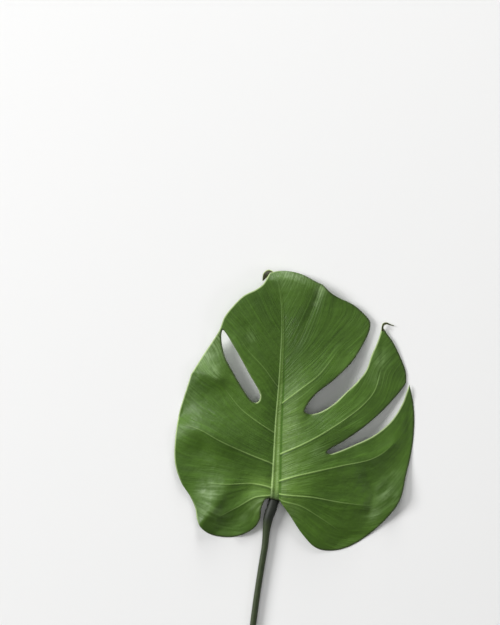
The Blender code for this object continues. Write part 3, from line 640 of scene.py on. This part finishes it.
# Marks of the mesh: flow is the fine vein that a point lies on, out its distance from the midrib, spread the
# same by half widths of the cord and negative on the right, edge its distance from the margin, and facing
# which way that margin looks.
def upperMaterial(look=upperFace):
    material, wire, shader = newMaterial("bladeUpper", look["gloss"])
    flow, out, edge, spread = wire.mark("flow"), wire.mark("out"), wire.mark("edge"), wire.mark("spread")
    cord, pale, facing = wire.mark("cord"), wire.mark("pale"), wire.mark("facing")
    paintedSheen, shade = wire.mark("paintedSheen"), wire.mark("shade")
    place = wire.node("ShaderNodeTexCoord", out="Object")
    broad = wire.noise(place, look["broadScale"])
    mottle = wire.noise(place, look["mottleScale"])
    patch = wire.step(wire.noise(place, look["patchScale"], 1.0), 0.4, 0.6, 0.45, 1.15)
    (streakAcross, streakAlong), (hairAcross, hairAlong) = look["streakRun"], look["hairRun"]
    streak = wire.noise(wire.vector(flow * streakAcross, out * streakAlong, 3.0), 1.0, 3.0, 0.6)
    hair = wire.noise(wire.vector(flow * hairAcross, out * hairAlong, 9.0), 1.0, 1.0)
    # skin with its fine veins; painted light beside the lower midrib, a painted shadow along its right side,
    # and painted shade below the veins and in patches
    lines = wire.step(streak, 0.42, 0.72) * 0.35 + wire.step(hair, 0.45, 0.75) * 0.25
    base = wire.mix(wire.step(broad, 0.36, 0.64), look["deep"], look["green"])
    base = wire.mix(lines, base, look["fresh"])
    near = wire.step(out, 42.0, 5.0) * (lines * 0.8 + 0.3)
    paintedLightRight = near * wire.step(spread, 0.2, -1.0) * wire.step(flow, 130.0, 60.0)
    paintedLightLeft = near * wire.step(spread, -0.2, 1.0) * wire.step(flow, 26.0, 8.0)
    base = wire.mix(paintedLightRight + paintedLightLeft, base, look["paintedLight"])
    # painted shadow: a dark strip along the right side of the midrib
    paintedMidribShadow = wire.step(spread, -0.85, -1.1) * wire.step(spread, -1.9, -1.3) * wire.step(flow, 190.0, 90.0)
    base = wire.mix(paintedMidribShadow * 0.75, base, look["paintedMidribShadow"])
    base = wire.mix(shade * 0.75, base, look["shade"])
    # cords of the veins: the midrib has a painted highlight on its left, and darkens at its foot
    midrib = wire.mix(wire.step(spread, 0.35, 0.8), look["groove"], look["bright"])
    isMidrib = wire.step(spread * spread, 1.3, 1.1)
    base = wire.mix(cord * pale, base, wire.mix(isMidrib, look["pale"], midrib))
    base = wire.mix(isMidrib * wire.step(flow, 13.0, -2.0) * 0.85, base, look["foot"])
    # painted sheen patches that stand for highlights, and margins
    paintedSheenMask = paintedSheen * wire.step(streak * 0.45 + hair * 0.35 + mottle * 0.2, 0.38, 0.62)
    base = wire.mix(paintedSheenMask * 0.55, base, look["paintedSheen"])
    # painted pale rim on margins that face the light, painted shade on those that face away
    paintedPaleRim, paintedDarkRim = wire.step(facing, -0.4, -0.85), wire.step(facing, -0.4, 0.2)
    base = wire.mix(wire.step(edge, 1.6, 0.5) * paintedPaleRim * 0.8, base, look["rim"])
    base = wire.mix(wire.step(edge, 2.5, 0.5) * paintedDarkRim * 0.7, base, look["paintedRimShade"])
    # relief and gloss
    lined = ((streak - 0.5) * 1.6 + (hair - 0.5) * 0.8) * patch * (1 - paintedMidribShadow * 0.85)
    height = lined + mottle * (paintedSheen + 2.0)
    bump = wire.node("ShaderNodeBump", {}, {**look["bump"], "Height": height}, "Normal")
    rough = wire.step(mottle * 0.6 + streak * 0.4, 0.35, 0.65, *look["roughness"]) + paintedMidribShadow * 0.4
    feed(wire, shader, Base_Color=base, Roughness=rough, Normal=bump)
    return material


lowerFace = {
    "gloss": {"Roughness": 0.55, "Specular IOR Level": 0.4},
    "green": colour(98, 132, 78),
    "fresh": colour(120, 152, 94),
    "pale": colour(168, 190, 128),
}


def lowerMaterial(look=lowerFace):
    material, wire, shader = newMaterial("bladeLower", look["gloss"])
    flow, out, rib = wire.mark("flow"), wire.mark("out"), wire.mark("rib")
    streak = wire.noise(wire.vector(flow * 0.34, out * 0.02, 3.0), 1.0, 4.0, 0.62)
    base = wire.mix(wire.step(streak, 0.45, 0.7) * 0.7, look["green"], look["fresh"])
    base = wire.mix(rib, base, look["pale"])
    bump = wire.node("ShaderNodeBump", {}, {"Strength": 0.35, "Distance": 0.0006, "Height": streak}, "Normal")
    feed(wire, shader, Base_Color=base, Normal=bump)
    return material


def crestOf(gap, rounding, reach):  # how much of a fold is left at a distance from its line
    return np.exp(-np.sqrt(gap**2 + rounding**2) / reach)


# What veins and folds do at points of the plan: the blade's height, how far cords stand over it and ribs
# below it, and the marks that the skin goes by.
def reliefOf(flat):
    z = bigShape.at(flat)
    cord, pale, rib, raised, depth, shade = np.zeros((6, len(flat)))
    for name, vein in veins.items():
        gap, share, side = nearestOn(flat, veinLines[name])
        paleness, height = between(vein["paleness"], share), between(vein["raised"], share)
        z += between(vein["fold"], share) * crestOf(gap, leaf["crestRound"], vein["reach"])
        across = gap / (between(vein["cord"], share) / 2)
        under = np.clip(gap / (between(vein["width"], share) / 2), 0, 1)
        depth = np.maximum(depth, between(vein["depth"], share) * (1 - under**2) ** 0.8)
        rib = np.maximum(rib, (1 - under**4) * between((1.0, 0.6), share))
        if name == "midrib":
            out, spine, spread = gap, side, across * side
            sunk, middle, half = leaf["midribFurrow"]
            furrow = sunk * np.exp(-((spread - middle) / half) ** 2)
            raised += height * (ramp(across, *leaf["midribWall"]) - furrow)
            mask = ramp(across, *leaf["midribSkin"])
        else:
            raised += height * ramp(across, *leaf["veinWall"])
            mask = ramp(across, *leaf["veinSkin"]) * ramp(share, *leaf["veinEnd"])
            # painted shade: a darker line on the lower side of each side vein
            below = side < 0 if name.startswith("right") else side > 0
            a, b, c, d = leaf["veinShade"]
            shade = np.maximum(shade, ramp(across, a, b) * ramp(across, d, c) * paleness * below)
        stronger = mask * paleness > cord * pale
        cord, pale = np.where(stronger, mask, cord), np.where(stronger, paleness, pale)
    for name, fold in folds.items():
        gap, share, _ = nearestOn(flat, foldLines[name])
        z += between(fold["rise"], share) * crestOf(gap, fold["round"], fold["reach"])
    plates = flowPlates()
    flow = np.where(spine > 0, plates["left"].at(flat), plates["right"].at(flat))
    marks = {
        "flow": flow, "out": out, "spread": np.clip(spread, -3, 3), "cord": cord, "pale": pale, "rib": rib,
        # painted sheen: where the pale highlight patches lie
        "paintedSheen": patchesOf(flat, leaf["paintedSheens"]),
        # painted shade: below the side veins and in the darker patches
        "shade": np.maximum(shade, patchesOf(flat, leaf["paintedShadePatches"])),
    }
    return landed(z - apexDrop(flat) + ripples(flow, out)), raised, depth, marks


def wallOf(faces, n):  # triangles from the open edges of one face to the other, whose points are n later
    ends = np.concatenate([faces[:, [0, 1]], faces[:, [1, 2]], faces[:, [2, 0]]])
    known = set(map(tuple, ends.tolist()))
    rim = sorted((a, b) for a, b in known if (b, a) not in known)
    return np.array([f for a, b in rim for f in ((b, a, a + n), (b, a + n, b + n))])


def makeBlade():
    flat, faces, outer, inner = bladePlan()
    print("blade plan:", len(flat), "points,", len(faces), "triangles a face")
    z, raised, depth, marks = reliefOf(flat)
    marks["edge"], marks["facing"] = marginGap(flat, [outer, inner])
    upper = np.c_[flat, z]
    normal = normalsOf(upper, faces)
    rounding = np.clip(1 - marks["edge"] / leaf["rimRound"], 0, 0.97)
    thin = 0.5 * leaf["thickness"] * (1 - np.sqrt(1 - rounding**2))
    lower = upper - normal * (leaf["thickness"] - thin)[:, None]
    upper = upper - normal * thin[:, None]
    upper[:, 2] += raised
    lower[:, 2] = np.maximum(lower[:, 2] - depth, 0)
    n = len(flat)
    walls = wallOf(faces, n)
    every = np.vstack([faces, faces[:, ::-1] + n, walls])
    which = np.repeat([0, 1, 0], [len(faces), len(faces), len(walls)])
    marks = {key: np.tile(values, 2) for key, values in marks.items()}  # both faces alike
    points = np.vstack([upper, lower]) + shift
    made = meshPiece("leafBlade", points, every, marks, [upperMaterial(), lowerMaterial()], which)
    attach(made, "root")
    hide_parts("leaf_blade")
    print("blade:", len(every), "triangles")


stalk = {
    # Middle line from the blade down to the cut end, and the radius.
    "line": [
        (-0.75, -1.75, 5.4, 5.2), (-3.1, -10.5, 5.4, 5.2), (-6.6, -20.5, 5.2, 4.9), (-8.6, -33, 4.8, 3.7),
        (-10, -48, 4.5, 3.3), (-13, -66, 4.3, 3.2), (-18.7, -103, 4, 3.15), (-22, -128, 3.8, 3.15),
        (-26.5, -165, 3.5, 3.2), (-29, -200, 3.25, 3.3), (-30, -235, 3.3, 3.4), (-30, -262, 3.4, 3.5),
    ],
    "sides": 40,
    "step": 1.6,
    "gap": 0.5,  # how far the end is set back from the blade's base
    "jointSpan": (30.0, 16.0),  # length of the dark joint: fades out, full
    # the knee's own dark colour, darkened further with painted shade from the blade above it
    "joint": colour(38, 42, 35),
    "green": colour(58, 70, 40),
    "shade": colour(42, 52, 32),
    "fleck": colour(104, 120, 74),
    "cut": colour(188, 196, 140),
    "gloss": {"Roughness": 0.52, "Specular IOR Level": 0.3},
    "cutGloss": {"Roughness": 0.6},
    "cutScale": 1100.0,
}


def stalkMaterial(look=stalk):
    material, wire, shader = newMaterial("stalkSkin", look["gloss"])
    along, around = wire.mark("along"), wire.mark("around")
    grain = wire.noise(wire.vector(along * 0.05, around * 3.0), 3.0, 4.0, 0.6)
    flecks = wire.noise(wire.vector(along * 0.6, around * 5.0, 4.0), 1.6, 2.0, 0.5)
    base = wire.mix(wire.step(grain, 0.35, 0.65), look["shade"], look["green"])
    base = wire.mix(wire.step(flecks, 0.66, 0.78) * 0.5, base, look["fleck"])
    base = wire.mix(wire.step(along, *look["jointSpan"]), base, look["joint"])
    bump = wire.node("ShaderNodeBump", {}, {"Strength": 0.3, "Distance": 0.0004, "Height": grain}, "Normal")
    feed(wire, shader, Base_Color=base, Normal=bump)
    return material


def cutMaterial(look=stalk):
    material, wire, shader = newMaterial("stalkCut", look["cutGloss"])
    place = wire.node("ShaderNodeTexCoord", out="Object")
    dots = wire.node("ShaderNodeTexVoronoi", {}, {"Vector": place, "Scale": look["cutScale"]}, "Distance")
    base = wire.mix(wire.step(dots, 0.15, 0.35), look["shade"], look["cut"])
    feed(wire, shader, Base_Color=base)
    return material


def unitOf(rows):
    return rows / np.linalg.norm(rows, axis=1)[:, None]


# A tube round a middle line, from its half breadths to the side and over it: points, faces, and the angle
# of each point of a ring. The last two points close the ends, the last faces are those of the far end.
def tubeOf(middle, side, over, n, far):
    turns = np.arange(n) * math.tau / n
    cosines, sines = np.cos(turns)[None, :, None], np.sin(turns)[None, :, None]
    rings = middle[:, None] + side[:, None] * cosines + over[:, None] * sines
    points = np.vstack([rings.reshape(-1, 3), middle[:1], far])
    count = len(middle)
    faces = [(i + k, i + (k + 1) % n, i + (k + 1) % n + n, i + k + n)
             for i in range(0, (count - 1) * n, n) for k in range(n)]
    last = (count - 1) * n
    faces += [(count * n, (k + 1) % n, k) for k in range(n)]
    faces += [(count * n + 1, last + k, last + (k + 1) % n) for k in range(n)]
    return points, faces, turns


def makeStalk():
    line = smoothCurve(stalk["line"], stalk["step"])
    middle, radius = line[:, :3].copy(), line[:, 3:]
    ahead = np.gradient(middle, axis=0)
    (x0, y0), (x1, y1) = leaf["base"]
    ahead[0] = y1 - y0, x0 - x1, 0
    ahead = unitOf(ahead)
    middle[0] += ahead[0] * stalk["gap"]
    side = unitOf(np.cross(ahead, (0, 0, 1)))
    over = np.cross(ahead, side)
    n, count = stalk["sides"], len(line)
    points, faces, turns = tubeOf(middle, side * radius, over * radius, n, middle[-1:])
    points[:, 2] = np.maximum(points[:, 2], 0)
    along = np.concatenate([[0], np.cumsum(np.linalg.norm(np.diff(middle, axis=0), axis=1))])
    marks = {
        "along": np.concatenate([np.repeat(along, n), [0, along[-1]]]),
        "around": np.concatenate([np.tile(np.abs(turns - math.pi), count), [0, 0]]),
    }
    which = [0] * (len(faces) - n) + [1] * n
    made = meshPiece("leafStalk", points + shift, faces, marks, [stalkMaterial(), cutMaterial()], which)
    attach(made, "root")
    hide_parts("petiole")
    print("stalk:", len(faces), "faces")


tipLook = {
    "step": 0.7,
    "sides": 16,
    "halfThickness": 0.35,
    "end": 0.3,  # how far the point stands out past the last ring
    "facing": (0, 0.3, 1),  # which way the flat of a tip looks
    "gloss": {"Roughness": 0.55, "Specular IOR Level": 0.25},
    "inside": colour(46, 42, 26),
    "outside": colour(52, 58, 28),
    "rim": colour(168, 186, 124),
}


def tipMaterial(look=tipLook):
    material, wire, shader = newMaterial("tipSkin", look["gloss"])
    along, across = wire.mark("along"), wire.mark("across")
    grain = wire.noise(wire.vector(along * 0.4, across * 2.0), 2.0, 2.0)
    base = wire.mix(wire.step(grain, 0.35, 0.65), look["inside"], look["outside"])
    base = wire.mix(wire.step(across, 0.65, 0.9) * 0.9, base, look["rim"])
    feed(wire, shader, Base_Color=base)
    return material


# Middle line of each drip tip, and half its width.
tips = {
    "apexTip": [(-2.6, 222.4, 8.3, 3.0), (-6.2, 224.2, 6.6, 3.3), (-9.2, 222.2, 4.6, 3.0),
                (-10.8, 219.2, 3.6, 1.9), (-12.2, 216.4, 3.0, 0.5)],
    "fingerTip": [(107.6, 166, 3, 1.3), (107.6, 170.6, 4, 1.0), (109, 173, 3.8, 1.3),
                  (111.8, 173.6, 2.8, 1.1), (115.5, 172.2, 1.8, 0.6), (119, 171.2, 1.6, 0.4)],
}


def makeTip(name, points, material, look=tipLook):
    line = smoothCurve(points, look["step"])
    middle, half = line[:, :3], np.maximum(line[:, 3:], look["halfThickness"])
    ahead = unitOf(np.gradient(middle, axis=0))
    side = unitOf(np.cross(ahead, look["facing"]))
    over = np.cross(ahead, side) * look["halfThickness"]
    n, count = look["sides"], len(line)
    far = middle[-1:] + ahead[-1:] * look["end"]
    points, faces, turns = tubeOf(middle, side * half, over, n, far)
    marks = {
        "along": np.concatenate([np.repeat(np.arange(count) * look["step"], n), [0, count * look["step"]]]),
        "across": np.concatenate([np.tile(np.abs(np.cos(turns)), count), [0, 0]]),
    }
    made = meshPiece(name, points + shift, faces, marks, [material])
    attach(made, "root")
    print(name + ":", len(faces), "faces")


def moveToFrame():  # the plan's outline on the CAD blade's box
    low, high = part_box("leaf_blade")
    outer = np.vstack([smoothCurve(leaf[run], leaf["edgeStep"])[:-1] for run in leaf["runs"]])
    across = (low.x + high.x) / 2 / mm - (outer[:, 0].min() + outer[:, 0].max()) / 2
    return np.array([across, low.y / mm - outer[:, 1].min(), 0])


shift = moveToFrame()
print("leaf moved into the frame by", shift.round(2))
makeBlade()
makeStalk()
tipSkin = tipMaterial()
for tipName, tipLine in tips.items():
    makeTip(tipName, tipLine, tipSkin)

studio = {
    "photoCentre": (250, 312.5),  # in pixels, one to a millimetre
    "photoHeight": 625,
    "leafBase": (275, 497),  # where the midrib starts
    "plane": 3.0,  # height over the floor where that scale holds
    "distance": 2200.0,
    "sensor": 36,
    "clip": 20,  # in metres, like the floor's size
    "world": 0.12,
    "floorSize": 6,
    "floorGloss": {"Roughness": 0.9, "Specular IOR Level": 0.1},
    "floorColour": (0.82, 0.82, 0.815, 1),
    "lamps": {
        "key": {"place": (-4640, 1760, 2880), "size": 2400, "power": 345.0, "glossy": True},
        "top": {"place": (384, 5100, 1500), "size": 1900, "power": 230.0, "glossy": True},
        "side": {"place": (3200, -1200, 2600), "size": 1200, "power": 14.0, "glossy": True},
        "fill": {"place": (0, 0, 3000), "size": 2500, "power": 18.0, "glossy": False},
    },
}


def lightUp():
    scene = bpy.context.scene
    scene.view_settings.view_transform = "Standard"
    world = bpy.data.worlds.new("studio")
    scene.world = world
    world.use_nodes = True
    background = world.node_tree.nodes["Background"]
    background.inputs["Color"].default_value = (1, 1, 1, 1)
    background.inputs["Strength"].default_value = studio["world"]
    for name, lamp in studio["lamps"].items():
        light = bpy.data.lights.new(name, "AREA")
        light.energy, light.size = lamp["power"], lamp["size"] * mm
        holder = bpy.data.objects.new(name, light)
        holder.location = Vector(lamp["place"]) * mm
        holder.rotation_euler = (-holder.location).to_track_quat("-Z", "Y").to_euler()
        holder.visible_glossy = lamp["glossy"]
        scene.collection.objects.link(holder)


def layFloor():
    bpy.ops.mesh.primitive_plane_add(size=studio["floorSize"])
    floor = bpy.context.object
    floor.name = "floor"
    material, _, shader = newMaterial("floorPaper", studio["floorGloss"])
    shader.inputs["Base Color"].default_value = studio["floorColour"]
    floor.data.materials.append(material)


def setCamera():
    camera = bpy.data.cameras.new("camera")
    holder = bpy.data.objects.new("camera", camera)
    bpy.context.scene.collection.objects.link(holder)
    x = studio["photoCentre"][0] - studio["leafBase"][0] + shift[0]
    y = studio["leafBase"][1] - studio["photoCentre"][1] + shift[1]
    holder.location = Vector((x, y, studio["plane"] + studio["distance"])) * mm
    camera.sensor_width = studio["sensor"]
    camera.lens = studio["sensor"] * studio["distance"] / studio["photoHeight"]
    camera.clip_end = studio["clip"]
    bpy.context.scene.camera = holder


lightUp()
layFloor()
setCamera()
